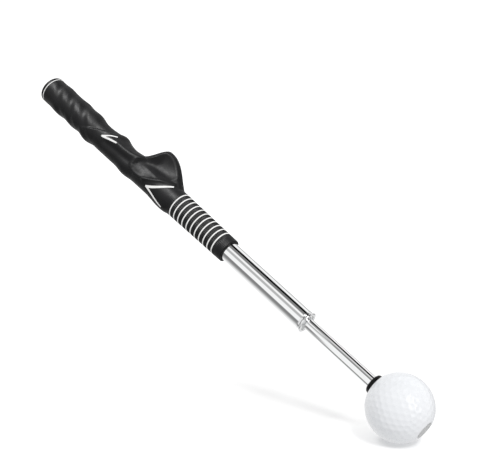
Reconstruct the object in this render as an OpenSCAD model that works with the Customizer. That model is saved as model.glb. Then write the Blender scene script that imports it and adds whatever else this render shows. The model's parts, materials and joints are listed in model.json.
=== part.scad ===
// Telescopic golf swing trainer with a moulded training grip and a ball-shaped head.
// Millimetres. The origin is the centre of the silver end disc, +Z runs up the stick to the
// butt of the grip, and +X points to the thumb rest.

/* [Lengths] */
// Rod that shows between the bumper and the tube, as carried
rod_exposed = 75.3; // [60:0.1:76]
// Chrome tube that shows below the grip
tube_exposed = 100; // [80:1:110]
// Length of the grip with its butt cap
grip_len = 267.5; // [262:0.5:275]

/* [Ball head] */
// Diameter of the ball
ball_d = 57; // [54:0.5:60]
// Thickness of the ball's cover
cover_wall = 2.2; // [1.8:0.1:3]
// Height of the cap that is cut off the ball to make the flat round the end disc
flat_cut = 1.9; // [1.8:0.1:2.5]
// Diameter of the silver end disc
disc_d = 16; // [14:0.5:18]
// Diameter of the rubber bumper
bumper_d = 18.4; // [17:0.1:20]
// Thickness of the rubber bumper
bumper_h = 4.3; // [4:0.1:6]

/* [Telescope] */
// Outer diameter of the outer tube
tube_d = 18.8; // [18.4:0.1:19.2]
// Outer diameter of the middle tube
middle_d = 14.2; // [14:0.1:14.4]
// Diameter of the rod
rod_d = 10.8; // [10.6:0.1:11]
// Wall of the outer and middle tubes
tube_wall = 0.8; // [0.7:0.05:0.85]
// Wall of the rod, which is a thicker tube
rod_wall = 1.2; // [1:0.1:1.4]
// Radial clearance of the guide bushes on what slides in them
run_gap = 0.06; // [0.03:0.01:0.1]

/* [Grip] */
// Radius of the grip at the butt
grip_r = 13.75; // [13.25:0.05:14.5]
// Radius of the grip at the first white ring
ring_zone_r = 12.8; // [12.4:0.05:13.2]
// Radius of the grip at its mouth
mouth_r = 11.6; // [11.3:0.05:12]
// Distance between the finger swells
finger_pitch = 24; // [22:0.5:26]
// Height of the thumb rest above the grip's axis
hump_reach = 32.2; // [28:0.1:34]
// Half of the thickness of the thumb rest at its crest
hump_half = 8; // [7:0.1:10]
// Distance from the butt to the top of the thumb rest
hump_at = 156.3; // [150:0.1:158]

/* [White marks] */
// Number of white rings round the lower grip
ring_count = 11; // [6:1:12]
// Distance between the white rings
ring_pitch = 5.65; // [5:0.05:5.8]
// Width of a white ring
ring_w = 1.3; // [1:0.1:2]
// Depth of a white mark in the rubber
mark_depth = 1; // [0.6:0.1:1.2]

/* [Hidden] */
$fn = 96;

// Film of glue or plating between parts that are fixed together
film = 0.05;

// Radii
ball_r = ball_d / 2;
disc_r = disc_d / 2;
tube_r = tube_d / 2;
tube_in = tube_r - tube_wall;
middle_r = middle_d / 2;
middle_in = middle_r - tube_wall;
rod_r = rod_d / 2;
rod_in = rod_r - rod_wall;

// Ball head: the disc stands a little proud of the ball's flat, and the neck ring of the ball
disc_proud = 0.3;
disc_t = 1.8;
ball_z = ball_r - flat_cut + disc_proud;
core_r = ball_r - cover_wall - film;
sleeve_r = 8;
sleeve_z = 9;
sleeve_floor = 3;
seat_r = 10.6;
seat_z = 50;
seat_proud = 0.15;
seat_top = ball_z + sqrt(ball_r * ball_r - seat_r * seat_r) + seat_proud;
well_r = 5.4;
screw_r = 2.5;
screw_head_r = 4.6;
screw_head_h = 4.2;
screw_len = 17;
washer_t = 1.2;
insert_len = 18;
bumper_top = seat_top + bumper_h;

// Telescope, as carried: the middle section is home and the rod is part way out
tube_z = bumper_top + rod_exposed;
mouth_z = tube_z + tube_exposed;
butt_z = mouth_z + grip_len;
tube_top = butt_z - 14;
lip_h = 2.2;
lip_proud = 0.85;
spigot_top = tube_z + 5;
outer_bush_len = 16;
rod_bush_len = 12;
middle_lip_z = tube_z + 1;
middle_z = tube_z + 3.2;
middle_top = tube_top - 26;
piston_len = 18;
rod_piston_len = 16;
spring_len = 12;
spring_wall = 0.3;
rod_z = sleeve_z + sleeve_floor;
rod_top = middle_top - rod_exposed - 4;
pad_z = middle_top + 1;
pad_h = 5;
plug_z = pad_z + pad_h;
plug_flange = 2;
spigot_r = 3;
spigot_len = 13;

// Grip: heights are worked out from the distance down from the butt
cap_z = butt_z - 4.3;
cap_round = 3.1;
cap_neck_z = tube_top + plug_flange;
butt_ring_h = 1.1;
sleeve_top = cap_z - butt_ring_h;
ring_from_butt = 199.4;
ring_z = butt_z - ring_from_butt;
moulded_z = ring_z + 3;
thinnest_r = 10.8;
mouth_slope = (ring_zone_r - mouth_r) / (ring_z - mouth_z);
body_slope = (grip_r - ring_zone_r) / ring_from_butt;

// Swells and hollows of the moulded grip, each as distance from the butt, angle round the
// grip from the thumb rest, rise, half length and half angle
SWELLS = [
    [finger_pitch, 200, 1, 12, 110],
    [2 * finger_pitch, 200, 0.9, 12, 110],
    [3 * finger_pitch, 190, 1.9, 12, 110],
    [finger_pitch, 10, 0.5, 12, 70],
    [2 * finger_pitch, 10, 0.5, 12, 70],
    [78, 0, -1.8, 18, 80],
    [95, 0, -1.1, 10, 70],
    [107, -10, 1, 9, 60],
    [122, 0, -1.8, 13, 70],
    [130, 190, 1.3, 14, 80],
    [184, 190, 1.6, 22, 90],
    [146, -42, -4.2, 24, 34],
    [146, 42, -2.5, 24, 34],
    [128, -78, -1.1, 18, 42]
];

// A smooth bump, 1 at t = 0 and 0 from t = 1 on either side
function bell(t) = abs(t) < 1 ? pow(cos(90 * t), 2) : 0;

// A smooth step from 0 to 1
function step(t) = let (s = min(max(t, 0), 1)) s * s * (3 - 2 * s);

// The larger of two radii, blended over k
function blend(a, b, k) = let (h = max(k - abs(a - b), 0) / k) max(a, b) + h * h * k / 4;

// An angle brought to between -180 and 180
function turn(a) = a - 360 * floor((a + 180) / 360);

// Height of the thumb rest's profile, 0 to 1: steep on the butt side, long on the ball side
steep_foot = 21;
steep_len = 19;
long_len = 36.7;
long_power = 1.25;
function hump_rise(u) =
    u < hump_at
    ? step((u - hump_at + steep_foot) / steep_len)
    : pow(max(cos(90 * min((u - hump_at) / long_len, 1)), 0), long_power);

// Radius of the thumb rest's round-nosed fin in direction a
function fin(a, reach) =
    let (c = reach - hump_half, s = abs(sin(a)))
    cos(a) <= 0 ? 0
    : c * s < hump_half * cos(a) ? c * cos(a) + sqrt(hump_half * hump_half - c * c * s * s)
    : hump_half / s;

// Radius of the plain grip without its swells
function plain_r(u) =
    u < ring_from_butt
    ? grip_r - body_slope * u
    : ring_zone_r - mouth_slope * (u - ring_from_butt);

// Rise of all the swells together in direction a
function swell(a, u, i = 0) =
    i == len(SWELLS) ? 0
    : let (w = SWELLS[i])
    w[2] * bell((u - w[0]) / w[3]) * bell(turn(a - w[1]) / w[4]) + swell(a, u, i + 1);

// Radius of the moulded grip in direction a, at distance u below the butt
hump_blend = 6;
function skin(a, u) =
    let (
        r = plain_r(u),
        h = hump_rise(u),
        reach = r + (hump_reach - r) * h,
        raised = h > 0.001 ? blend(r, fin(a, reach), hump_blend * h) : r
    )
    blend(raised + swell(a, u), thinnest_r, 1);

function polar(r, a, z) = [r * cos(a), r * sin(a), z];

// Moulded part of the sleeve, as rings of points that are closer together on the thumb rest.
// Its last ring is tucked inside the tapered part below it.
RING_POINTS = 60;
tuck = 0.3;
sleeve_heights = concat(
    [for (z = [sleeve_top : -4.5 : butt_z - 130]) z],
    [for (z = [butt_z - 133 : -3 : moulded_z + 1]) z]
);
crowding = 34;
function ring_angle(i) = let (t = 360 * i / RING_POINTS) t - crowding * sin(t);
function skin_ring(z, inset) = [
    for (i = [0 : RING_POINTS - 1])
        let (a = ring_angle(i)) polar(skin(a, butt_z - z) - inset, a, z)
];

module lofted(rings) {
    m = len(rings);
    n = len(rings[0]);
    points = [for (ring = rings) each ring];
    sides = [
        for (j = [0 : m - 2])
            for (i = [0 : n - 1])
                let (a = j * n + i, b = j * n + (i + 1) % n)
                    each [[a, b, a + n], [b, b + n, a + n]]
    ];
    first = [for (i = [n - 1 : -1 : 0]) i];
    last = [for (i = [0 : n - 1]) (m - 1) * n + i];
    polyhedron(points, concat(sides, [first, last]), convexity = 6);
}

module tube(r_out, r_in, z0, z1) {
    translate([0, 0, z0])
        difference() {
            cylinder(r = r_out, h = z1 - z0);
            translate([0, 0, -1])
                cylinder(r = r_in, h = z1 - z0 + 2);
        }
}

// A thin split sleeve that presses lightly on the wall round it
module split_sleeve(r_out, z0) {
    slot_w = 2;
    difference() {
        tube(r_out, r_out - spring_wall, z0, z0 + spring_len);
        translate([0, -slot_w / 2, z0 - 1])
            cube([r_out + 1, slot_w, spring_len + 2]);
    }
}

// Outline of a white ring's groove at one height, cut or filled
module ring_band(i, gap) {
    z = ring_z - i * ring_pitch;
    r = plain_r(butt_z - z);
    translate([0, 0, z - ring_w / 2 - gap])
        difference() {
            cylinder(r = gap > 0 ? r + 1 : r, h = ring_w + 2 * gap);
            translate([0, 0, -1])
                cylinder(r = r - mark_depth - gap, h = ring_w + 2 * gap + 2);
        }
}

// One arm of a V mark: a strip that lies in the skin from one place to another
module mark_arm(u0, a0, u1, a1, w0, w1) {
    steps = 8;
    r_mid = skin((a0 + a1) / 2, (u0 + u1) / 2);
    du = u1 - u0;
    dv = (a1 - a0) * PI / 180 * r_mid;
    run = sqrt(du * du + dv * dv);
    rings = [
        for (k = [0 : steps])
            let (t = k / steps, w = (w0 + (w1 - w0) * t) / 2, u = u0 + du * t, a = a0 + (a1 - a0) * t)
                [
                    for (c = [[-1, 0.15], [1, 0.15], [1, -mark_depth], [-1, -mark_depth]])
                        let (
                            ue = u - c[0] * w * dv / run,
                            ae = a + c[0] * w * du / run / r_mid * 180 / PI
                        )
                            polar(skin(ae, ue) + c[1], ae, butt_z - ue)
                ]
    ];
    lofted(rings);
}

module grip_sleeve() {
    color("#1b1c1e")
        difference() {
            union() {
                lofted(concat(
                    [for (z = sleeve_heights) skin_ring(z, 0)],
                    [skin_ring(moulded_z - 1, tuck)]
                ));
                translate([0, 0, mouth_z])
                    cylinder(r1 = mouth_r, r2 = plain_r(butt_z - moulded_z), h = moulded_z - mouth_z);
            }
            translate([0, 0, mouth_z - 1])
                cylinder(r = tube_r + film, h = sleeve_top - mouth_z + 2);
            for (i = [0 : ring_count - 1])
                ring_band(i, film);
        }
}

module butt_cap() {
    neck_r = tube_r;
    color("#18191a") {
        rotate_extrude()
            polygon(concat(
                [[0, cap_neck_z], [neck_r, cap_neck_z], [neck_r, cap_z], [grip_r, cap_z]],
                [for (a = [0 : 15 : 90])
                    [grip_r - cap_round + cap_round * cos(a), butt_z - cap_round + cap_round * sin(a)]],
                [[0, butt_z]]
            ));
        translate([0, 0, cap_neck_z - spigot_len])
            cylinder(r = spigot_r - film, h = spigot_len + 1);
    }
}

module butt_ring() {
    color("#f2f2f0")
        tube(grip_r, tube_r + film, sleeve_top, cap_z);
}

module v_mark_small() {
    color("#f2f2f0") {
        mark_arm(92.4, -92, 104.4, -51, 2.2, 1.6);
        mark_arm(92.4, -92, 109.6, -73, 2.2, 1.6);
    }
}

module v_mark_large() {
    color("#f2f2f0") {
        mark_arm(164.6, -125, 186, -44, 2.7, 2.2);
        mark_arm(164.6, -125, 188.6, -152, 2.7, 1.6);
    }
}

module grip_rings() {
    color("#f2f2f0")
        for (i = [0 : ring_count - 1])
            ring_band(i, 0);
}

module outer_tube() {
    color("#c9ccd0")
        tube(tube_r, tube_in, tube_z + lip_h, tube_top);
}

// Rolled lip of the outer tube, with a spigot up inside the tube
module outer_ferrule() {
    bore_r = middle_r + 0.15;
    lip_r = tube_r + lip_proud;
    color("#dfe1e3")
        rotate_extrude() {
            translate([bore_r, tube_z + lip_h / 2])
                square([lip_r - lip_h / 2 - bore_r, lip_h / 2]);
            translate([bore_r + 0.4, tube_z])
                square([lip_r - lip_h / 2 - bore_r - 0.4, lip_h]);
            translate([lip_r - lip_h / 2, tube_z + lip_h / 2])
                circle(r = lip_h / 2);
            translate([bore_r, tube_z + lip_h])
                square([tube_in - film - bore_r, spigot_top - tube_z - lip_h]);
        }
}

module outer_bush() {
    color("#3a3c40")
        tube(tube_in - film, middle_r + run_gap, spigot_top, spigot_top + outer_bush_len);
}

module butt_plug() {
    color("#3a3c40")
        difference() {
            union() {
                translate([0, 0, plug_z])
                    cylinder(r = tube_in - film, h = tube_top - plug_z);
                translate([0, 0, tube_top])
                    cylinder(r = tube_r, h = plug_flange);
            }
            translate([0, 0, tube_top + plug_flange - spigot_len])
                cylinder(r = spigot_r, h = spigot_len + 1);
        }
}

module buffer_pad() {
    color("#222325")
        translate([0, 0, pad_z])
            cylinder(r = tube_in - 0.2, h = pad_h);
}

module middle_tube() {
    color("#c9ccd0")
        tube(middle_r, middle_in, middle_z, middle_top);
}

module middle_ferrule() {
    bore_r = rod_r + 0.15;
    color("#dfe1e3") {
        tube(middle_r, bore_r, middle_lip_z, middle_z);
        tube(middle_in - film, bore_r, middle_z, spigot_top);
    }
}

module rod_bush() {
    color("#3a3c40")
        tube(middle_in - film, rod_r + run_gap, spigot_top, spigot_top + rod_bush_len);
}

module middle_piston() {
    color("#3a3c40")
        tube(tube_in - 0.1, middle_r + film, middle_top - piston_len, middle_top);
}

module middle_spring() {
    color("#9a9da2")
        split_sleeve(tube_in - run_gap, middle_top - piston_len - spring_len - 1);
}

module rod() {
    color("#c9ccd0")
        tube(rod_r, rod_in, rod_z, rod_top);
}

module rod_piston() {
    color("#3a3c40")
        tube(middle_in - run_gap, rod_r + 0.02, rod_top - rod_piston_len, rod_top);
}

module rod_spring() {
    color("#9a9da2")
        split_sleeve(middle_in - run_gap, rod_top - rod_piston_len - spring_len - 1);
}

module bumper() {
    edge = 1.6;
    out_r = bumper_d / 2;
    crown = bumper_h - edge - 0.2;
    color("#161617")
        rotate_extrude()
            polygon(concat(
                [[rod_r + film, seat_top]],
                [for (a = [-90 : 15 : 0])
                    [out_r - edge + edge * cos(a), seat_top + edge + edge * sin(a)]],
                [for (a = [0 : 15 : 60])
                    [out_r - crown + crown * cos(a), bumper_top - crown + crown * sin(a)]],
                [[rod_r + 0.8, bumper_top], [rod_r + film, bumper_top]]
            ));
}

module seat_ring() {
    color("#ededeb")
        difference() {
            translate([0, 0, seat_z])
                cylinder(r = seat_r, h = seat_top - seat_z);
            translate([0, 0, seat_z - 1])
                cylinder(r = rod_r + film, h = seat_top - seat_z + 2);
        }
}

module ball_cover() {
    color("#f4f4f2")
        difference() {
            translate([0, 0, ball_z])
                sphere(r = ball_r);
            translate([0, 0, ball_z])
                sphere(r = ball_r - cover_wall);
            translate([0, 0, ball_z])
                cylinder(r = seat_r + film, h = ball_r + 1);
            translate([0, 0, -1])
                cylinder(r = disc_r + film, h = disc_t + 3);
            translate([0, 0, -ball_r])
                cylinder(r = ball_r, h = ball_r + disc_proud);
        }
}

module ball_core() {
    color("#8c8f92")
        difference() {
            translate([0, 0, ball_z])
                sphere(r = core_r);
            translate([0, 0, seat_z])
                cylinder(r = seat_r + film, h = ball_r);
            translate([0, 0, sleeve_z])
                cylinder(r = sleeve_r + film, h = ball_d);
            translate([0, 0, -1])
                cylinder(r = well_r, h = sleeve_z + 2);
            translate([0, 0, -1])
                cylinder(r = disc_r + film, h = disc_t + 1);
        }
}

// Steel cup in the core that the rod stands in
module ball_sleeve() {
    color("#a9acb0")
        difference() {
            translate([0, 0, sleeve_z])
                cylinder(r = sleeve_r, h = seat_z - sleeve_z);
            translate([0, 0, rod_z])
                cylinder(r = rod_r + film, h = seat_z);
            translate([0, 0, sleeve_z - 1])
                cylinder(r = screw_r + 0.2, h = sleeve_floor + 2);
        }
}

module rod_insert() {
    color("#a9acb0")
        tube(rod_in - film, screw_r + film, rod_z, rod_z + insert_len);
}

module lock_washer() {
    color("#a9acb0")
        tube(screw_head_r + 0.4, screw_r + 0.2, sleeve_z - washer_t, sleeve_z);
}

module end_screw() {
    head_z = sleeve_z - washer_t - screw_head_h;
    hex_r = 2.3;
    color("#a9acb0")
        difference() {
            union() {
                translate([0, 0, head_z])
                    cylinder(r = screw_head_r, h = screw_head_h);
                translate([0, 0, head_z + screw_head_h])
                    cylinder(r = screw_r, h = screw_len);
            }
            translate([0, 0, head_z - 1])
                cylinder(r = hex_r, h = 3.5, $fn = 6);
        }
}

module end_disc() {
    chamfer = 0.5;
    color("#b4b7bb")
        rotate_extrude()
            polygon([
                [0, 0],
                [disc_r - chamfer, 0],
                [disc_r, chamfer],
                [disc_r, disc_t],
                [0, disc_t]
            ]);
}

grip_sleeve();
butt_cap();
butt_ring();
v_mark_small();
v_mark_large();
grip_rings();
outer_tube();
outer_ferrule();
outer_bush();
butt_plug();
buffer_pad();
middle_tube();
middle_ferrule();
rod_bush();
middle_piston();
middle_spring();
rod();
rod_piston();
rod_spring();
bumper();
seat_ring();
ball_cover();
ball_core();
ball_sleeve();
rod_insert();
lock_washer();
end_screw();
end_disc();
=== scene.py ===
"""Looks of the telescopic golf swing trainer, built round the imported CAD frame.

Everything is in metres, in the CAD frame: +Z runs up the stick from the end disc to the butt
of the grip, and +X points to the thumb rest. Small sizes are written in millimetres times MM.
"""

import json
import math

import bmesh
import bpy
import numpy as np
from mathutils import Matrix, Vector

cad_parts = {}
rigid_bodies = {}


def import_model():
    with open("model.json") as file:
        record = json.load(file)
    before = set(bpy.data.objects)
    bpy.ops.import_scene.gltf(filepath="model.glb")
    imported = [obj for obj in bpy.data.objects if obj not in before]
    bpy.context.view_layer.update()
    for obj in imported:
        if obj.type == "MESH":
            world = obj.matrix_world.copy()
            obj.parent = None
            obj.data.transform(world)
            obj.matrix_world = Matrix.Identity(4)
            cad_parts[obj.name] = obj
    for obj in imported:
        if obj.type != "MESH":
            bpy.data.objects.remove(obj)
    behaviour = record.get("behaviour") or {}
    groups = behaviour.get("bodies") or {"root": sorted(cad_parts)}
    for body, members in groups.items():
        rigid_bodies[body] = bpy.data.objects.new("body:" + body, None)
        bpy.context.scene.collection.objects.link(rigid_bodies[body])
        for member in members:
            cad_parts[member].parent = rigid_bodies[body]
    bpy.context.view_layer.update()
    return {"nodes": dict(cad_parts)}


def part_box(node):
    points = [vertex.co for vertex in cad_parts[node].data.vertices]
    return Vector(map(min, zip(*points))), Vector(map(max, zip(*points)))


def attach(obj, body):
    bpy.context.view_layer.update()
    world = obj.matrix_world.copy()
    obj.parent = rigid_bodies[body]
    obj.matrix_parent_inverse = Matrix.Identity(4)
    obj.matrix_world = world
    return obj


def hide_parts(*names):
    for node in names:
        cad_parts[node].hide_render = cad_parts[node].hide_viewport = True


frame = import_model()

MM = 0.001
HANDLE, MIDDLE, HEAD = "handle", "middle_section", "rod_and_ball"

# ------------ sizes read from the frame
BUTT_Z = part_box("butt_cap")[1].z
SLEEVE_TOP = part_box("grip_sleeve")[1].z
MOUTH_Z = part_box("grip_sleeve")[0].z
CAP_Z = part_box("butt_ring")[1].z
GRIP_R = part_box("butt_ring")[1].x
HUMP_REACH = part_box("grip_sleeve")[1].x
TUBE_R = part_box("outer_tube")[1].x
LIP_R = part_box("outer_ferrule")[1].x
TUBE_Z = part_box("outer_ferrule")[0].z
TUBE_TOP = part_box("outer_tube")[1].z
MIDDLE_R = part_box("middle_tube")[1].x
MIDDLE_LIP_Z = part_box("middle_ferrule")[0].z
MIDDLE_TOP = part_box("middle_tube")[1].z
ROD_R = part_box("rod")[1].x
ROD_Z, ROD_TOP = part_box("rod")[0].z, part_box("rod")[1].z
BALL_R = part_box("ball_cover")[1].x
SEAT_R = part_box("seat_ring")[1].x
SEAT_Z, SEAT_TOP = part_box("seat_ring")[0].z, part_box("seat_ring")[1].z
BUMPER_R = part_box("bumper")[1].x
BUMPER_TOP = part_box("bumper")[1].z
DISC_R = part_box("end_disc")[1].x
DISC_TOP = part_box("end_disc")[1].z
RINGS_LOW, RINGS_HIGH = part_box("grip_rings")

TUBE_WALL = 0.8 * MM
COVER_WALL = 2.2 * MM
ROD_WALL = 1.2 * MM
DISC_PROUD = 0.3 * MM
FLAT_CUT = 1.9 * MM
BALL_Z = BALL_R - FLAT_CUT + DISC_PROUD
RING_COUNT = 11
RING_W = 1.3 * MM
RING_PITCH = (RINGS_HIGH.z - RINGS_LOW.z - RING_W) / (RING_COUNT - 1)
RING_Z = RINGS_HIGH.z - RING_W / 2
RING_ZONE_R = RINGS_HIGH.x
MOUTH_R = 11.6 * MM
# Room between pieces that touch
CLEAR = 0.05 * MM
BORE_R = TUBE_R + CLEAR


# ------------ node helpers
NOISE_LOW, NOISE_HIGH = 0.3, 0.7
PLASTIC_IOR = 1.5


class Nodes:
    """A node tree with short calls for the few kinds of node used here."""

    def __init__(self, tree):
        self.tree = tree
        tree.nodes.clear()

    def add(self, kind, **props):
        node = self.tree.nodes.new(kind)
        for key, value in props.items():
            setattr(node, key, value)
        return node

    def link(self, source, target):
        self.tree.links.new(source, target)

    def feed(self, socket, value):
        if isinstance(value, bpy.types.NodeSocket):
            self.link(value, socket)
        else:
            socket.default_value = value

    def math(self, operation, a, b=0.0):
        node = self.add("ShaderNodeMath", operation=operation)
        self.feed(node.inputs[0], a)
        self.feed(node.inputs[1], b)
        return node.outputs[0]

    def times(self, a, b):
        return self.math("MULTIPLY", a, b)

    def plus(self, a, b):
        return self.math("ADD", a, b)

    def smooth(self, value, low, high, to_low=0.0, to_high=1.0):
        """value from low to high becomes to_low to to_high, with eased ends."""
        node = self.add("ShaderNodeMapRange", interpolation_type="SMOOTHSTEP")
        self.feed(node.inputs["Value"], value)
        self.feed(node.inputs["From Min"], low)
        self.feed(node.inputs["From Max"], high)
        self.feed(node.inputs["To Min"], to_low)
        self.feed(node.inputs["To Max"], to_high)
        return node.outputs["Result"]

    def roughen(self, noise, low, high):
        """low to high over the range that most of a noise's values lie in."""
        return self.smooth(noise, NOISE_LOW, NOISE_HIGH, low, high)

    def object_coords(self):
        return self.add("ShaderNodeTexCoord").outputs["Object"]

    def noise(self, vector, scale, detail=3.0, roughness=0.5):
        node = self.add("ShaderNodeTexNoise")
        self.feed(node.inputs["Vector"], vector)
        node.inputs["Scale"].default_value = scale
        node.inputs["Detail"].default_value = detail
        node.inputs["Roughness"].default_value = roughness
        return node.outputs["Fac"]

    def cells(self, vector, scale):
        node = self.add("ShaderNodeTexVoronoi", feature="F1")
        self.feed(node.inputs["Vector"], vector)
        node.inputs["Scale"].default_value = scale
        return node.outputs["Distance"]

    def stretch(self, vector, scale):
        node = self.add("ShaderNodeMapping")
        self.feed(node.inputs["Vector"], vector)
        node.inputs["Scale"].default_value = scale
        return node.outputs["Vector"]

    def mix_colour(self, factor, a, b):
        return self.mix("RGBA", factor, a, b)

    def mix_value(self, factor, a, b):
        return self.mix("FLOAT", factor, a, b)

    def mix(self, data_type, factor, a, b):
        node = self.add("ShaderNodeMix", data_type=data_type)
        self.feed(node.inputs["Factor"], factor)
        self.feed(node.inputs["A"], a)
        self.feed(node.inputs["B"], b)
        return node.outputs["Result"]

    def bump(self, height, distance, strength=1.0, normal=None):
        node = self.add("ShaderNodeBump")
        node.inputs["Strength"].default_value = strength
        node.inputs["Distance"].default_value = distance
        self.feed(node.inputs["Height"], height)
        if normal is not None:
            self.feed(node.inputs["Normal"], normal)
        return node.outputs["Normal"]


def principled(name, metallic=0.0, specular=0.5, coat=0.0, coat_roughness=0.05):
    """A new material, the node helper to feed its shader with, the shader, and coordinates."""
    material = bpy.data.materials.new(name)
    material.use_nodes = True
    nodes = Nodes(material.node_tree)
    shader = nodes.add("ShaderNodeBsdfPrincipled")
    shader.inputs["Metallic"].default_value = metallic
    shader.inputs["Specular IOR Level"].default_value = specular
    shader.inputs["Coat Weight"].default_value = coat
    shader.inputs["Coat Roughness"].default_value = coat_roughness
    shader.inputs["IOR"].default_value = PLASTIC_IOR
    out = nodes.add("ShaderNodeOutputMaterial")
    nodes.link(shader.outputs["BSDF"], out.inputs["Surface"])
    return material, nodes, shader, nodes.object_coords()


def dress(nodes, shader, colour, roughness, normal):
    """Feeds the shader what varies over the surface."""
    for name, value in (("Base Color", colour), ("Roughness", roughness), ("Normal", normal)):
        nodes.feed(shader.inputs[name], value)


def darkened(tint, share):
    return tuple(c * share for c in tint[:3]) + (1,)


# ------------ materials
def rubber(name, dark, light, rough_low, rough_high, grain, grain_depth):
    """Moulded rubber: fine pebble grain, faint mottling and uneven sheen."""
    material, nodes, shader, where = principled(name, specular=0.12)
    mottle = nodes.noise(where, scale=90.0, detail=4.0)
    sheen = nodes.noise(where, scale=260.0, detail=3.0, roughness=0.6)
    pebbles = nodes.cells(where, grain)
    pores = nodes.noise(where, scale=grain * 2.0, detail=2.0)
    fine = nodes.bump(pores, grain_depth * 0.5, strength=0.6)
    coarse = nodes.bump(pebbles, grain_depth, strength=0.8, normal=fine)
    colour = nodes.mix_colour(mottle, dark, light)
    dress(nodes, shader, colour, nodes.roughen(sheen, rough_low, rough_high), coarse)
    return material


def white_mark_material():
    """White rubber of the rings and V marks, very slightly soiled."""
    material, nodes, shader, where = principled("white_mark", specular=0.4)
    soil = nodes.noise(where, scale=300.0, detail=5.0, roughness=0.65)
    soiled = nodes.smooth(soil, low=0.35, high=0.8)
    colour = nodes.mix_colour(soiled, (0.93, 0.93, 0.92, 1), (0.83, 0.83, 0.81, 1))
    grain = nodes.noise(where, scale=2600.0, detail=2.0)
    dress(nodes, shader, colour, nodes.roughen(soil, 0.38, 0.5), nodes.bump(grain, 0.02 * MM))
    return material


def chrome(name, tint, smudge):
    """Polished plate: fine lengthwise draw lines, and faint smudges in its gloss."""
    material, nodes, shader, where = principled(name, metallic=1.0)
    drawn = nodes.noise(nodes.stretch(where, (1.0, 1.0, 0.02)), scale=2600.0, detail=3.0)
    patch = nodes.noise(where, scale=70.0, detail=4.0, roughness=0.6)
    dull = nodes.times(nodes.smooth(patch, low=0.5, high=0.75), smudge)
    lines = nodes.times(drawn, 0.05)
    colour = nodes.mix_colour(patch, tint, darkened(tint, 0.94))
    relief = nodes.bump(drawn, 0.0012 * MM, strength=0.35)
    dress(nodes, shader, colour, nodes.plus(dull, lines), relief)
    return material


def turned_steel(name, tint, rough, pitch):
    """Metal faced on a lathe: circular tool marks about the stick's axis."""
    material, nodes, shader, where = principled(name, metallic=1.0)
    split = nodes.add("ShaderNodeSeparateXYZ")
    nodes.link(where, split.inputs[0])
    x, y, z = split.outputs
    square = nodes.plus(nodes.times(x, x), nodes.times(y, y))
    radius = nodes.math("POWER", square, 0.5)
    marks = nodes.math("SINE", nodes.times(radius, 2 * math.pi / pitch))
    uneven = nodes.noise(where, scale=900.0, detail=3.0)
    height = nodes.plus(nodes.times(marks, 0.5), uneven)
    colour = nodes.mix_colour(uneven, tint, darkened(tint, 0.8))
    relief = nodes.bump(height, 0.01 * MM, strength=0.5)
    dress(nodes, shader, colour, nodes.roughen(uneven, rough, rough + 0.14), relief)
    return material


def moulded_plastic(name, light, dark, rough):
    """Plain injection-moulded plastic with a faint eggshell texture."""
    material, nodes, shader, where = principled(name)
    shade = nodes.noise(where, scale=120.0, detail=4.0)
    colour = nodes.mix_colour(shade, light, dark)
    relief = nodes.bump(nodes.noise(where, scale=1800.0, detail=2.0), 0.012 * MM)
    dress(nodes, shader, colour, nodes.roughen(shade, rough - 0.05, rough + 0.08), relief)
    return material


def ball_material():
    """White cover under a clear coat, with a trace of cool and warm in the white."""
    material, nodes, shader, where = principled("ball_white", coat=0.35, coat_roughness=0.08)
    cloud = nodes.noise(where, scale=45.0, detail=3.0)
    colour = nodes.mix_colour(cloud, (0.80, 0.82, 0.85, 1), (0.835, 0.845, 0.865, 1))
    fleck = nodes.noise(where, scale=700.0, detail=3.0)
    relief = nodes.bump(fleck, 0.004 * MM, strength=0.4)
    dress(nodes, shader, colour, nodes.roughen(fleck, 0.26, 0.36), relief)
    return material


COOL_BLACKS = (0.004, 0.004, 0.0043, 1), (0.007, 0.007, 0.0074, 1)
PLAIN_BLACKS = (0.004, 0.004, 0.004, 1), (0.007, 0.007, 0.007, 1)
PLATE = (0.93, 0.935, 0.94, 1)
PLATE_SMUDGE = 0.05

GRIP_RUBBER = rubber("grip_rubber", *COOL_BLACKS, 0.40, 0.50, 1500.0, 0.03 * MM)
CAP_RUBBER = rubber("cap_rubber", *COOL_BLACKS, 0.40, 0.52, 2200.0, 0.02 * MM)
BUMPER_RUBBER = rubber("bumper_rubber", *PLAIN_BLACKS, 0.30, 0.42, 2600.0, 0.01 * MM)
WHITE_MARK = white_mark_material()
CHROME_TUBE = chrome("chrome_tube", PLATE, PLATE_SMUDGE)
CHROME_ROD = chrome("chrome_rod", PLATE, PLATE_SMUDGE)
PLAIN_STEEL = turned_steel("plain_steel", (0.56, 0.57, 0.59, 1), 0.28, 0.3 * MM)
SATIN_DISC = turned_steel("satin_disc", (0.74, 0.75, 0.75, 1), 0.36, 0.36 * MM)
BUSH_PLASTIC = moulded_plastic(
    "bush_plastic", light=(0.045, 0.046, 0.05, 1), dark=(0.03, 0.03, 0.034, 1), rough=0.45
)
CORE_RUBBER = moulded_plastic(
    "core_rubber", light=(0.36, 0.37, 0.38, 1), dark=(0.28, 0.29, 0.30, 1), rough=0.6
)
BALL_WHITE = ball_material()


# ------------ mesh helpers
ON_AXIS = 1e-7
LATHE_POINTS = 160


def finish_piece(obj, material, body, slot, *nodes):
    """Gives a new piece its material, smooth shading and body, and hides the nodes it stands for.
    Its slot is not used.
    """
    obj.data.materials.clear()
    obj.data.materials.append(material)
    for polygon in obj.data.polygons:
        polygon.use_smooth = True
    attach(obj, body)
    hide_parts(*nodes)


def new_object(name, vertices, faces):
    """A mesh object in the scene, from its points and the points of each face."""
    mesh = bpy.data.meshes.new(name)
    mesh.from_pydata([tuple(v) for v in vertices], [], faces)
    mesh.validate()
    mesh.update()
    obj = bpy.data.objects.new(name, mesh)
    bpy.context.scene.collection.objects.link(obj)
    return obj


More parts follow.
